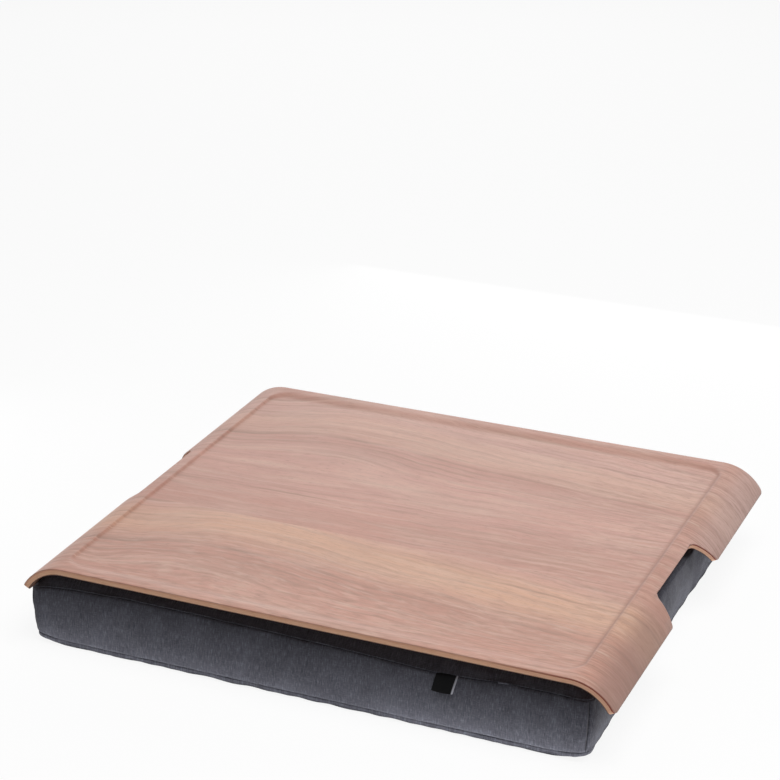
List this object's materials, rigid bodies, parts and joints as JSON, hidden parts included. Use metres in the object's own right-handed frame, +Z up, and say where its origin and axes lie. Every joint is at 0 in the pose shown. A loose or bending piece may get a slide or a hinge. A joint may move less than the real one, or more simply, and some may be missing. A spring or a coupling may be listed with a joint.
{
  "type": "lap tray with cushion",
  "caption": "Pressed plywood lap tray with down-bent ends, a hand notch in each and a shallow field, on a zipped bead-filled box cushion held by hook-and-loop tape.",
  "frame": {"origin": "centre of the footprint, on the surface the cushion stands on", "axes": "+X along the tray to its right end, +Y to the back where the zip is, +Z up"},
  "size_m": [0.46, 0.38, 0.066],
  "materials": {
    "walnut_veneer": "satin lacquer",
    "dark_ply": "sanded edge",
    "pale_ply": "sanded edge",
    "backing_veneer": "satin lacquer",
    "heather_fabric": "woven, matte",
    "liner_fabric": "non-woven, matte",
    "polystyrene_beads": "loose beads",
    "hook_tape": "matte",
    "loop_tape": "napped",
    "woven_label": "satin weave",
    "zip_tape": "woven, matte",
    "zip_coil": "moulded",
    "zip_metal": "enamelled"
  },
  "bodies": {
    "cushion": {"cover_top_panel": "heather_fabric", "cover_bottom_panel": "heather_fabric", "front_band": "heather_fabric", "right_band": "heather_fabric", "left_band": "heather_fabric", "back_band_lower": "heather_fabric", "back_band_upper": "heather_fabric", "liner_lower": "liner_fabric", "liner_upper": "liner_fabric", "bead_filling": "polystyrene_beads", "loop_tape_1": "loop_tape", "loop_tape_2": "loop_tape", "loop_tape_3": "loop_tape", "loop_tape_4": "loop_tape", "side_label": "woven_label", "zip_tape_lower": "zip_tape", "zip_tape_upper": "zip_tape", "zip_coil_lower": "zip_coil", "zip_coil_upper": "zip_coil", "zip_bottom_stop": "zip_metal", "zip_top_stop": "zip_metal"},
    "tray": {"walnut_face_veneer": "walnut_veneer", "upper_cross_ply": "dark_ply", "core_ply": "pale_ply", "lower_cross_ply": "dark_ply", "backing_veneer": "backing_veneer", "hook_tape_1": "hook_tape", "hook_tape_2": "hook_tape", "hook_tape_3": "hook_tape", "hook_tape_4": "hook_tape"},
    "slider": {"zip_slider": "zip_metal"},
    "pull": {"zip_pull": "zip_metal"}
  },
  "joints": [
    {"name": "tray_lift", "type": "slide", "parent": "cushion", "child": "tray", "axis": [0, 0, 1], "range_m": [0, 0.08]},
    {"name": "zip_slide", "type": "slide", "parent": "cushion", "child": "slider", "axis": [-1, 0, 0], "range_m": [0, 0.2845]},
    {"name": "pull_swing", "type": "hinge", "parent": "slider", "child": "pull", "pos_m": [0.13475, 0.1867, 0.024], "axis": [0, 0, 1], "range_deg": [0, 180]}
  ]
}
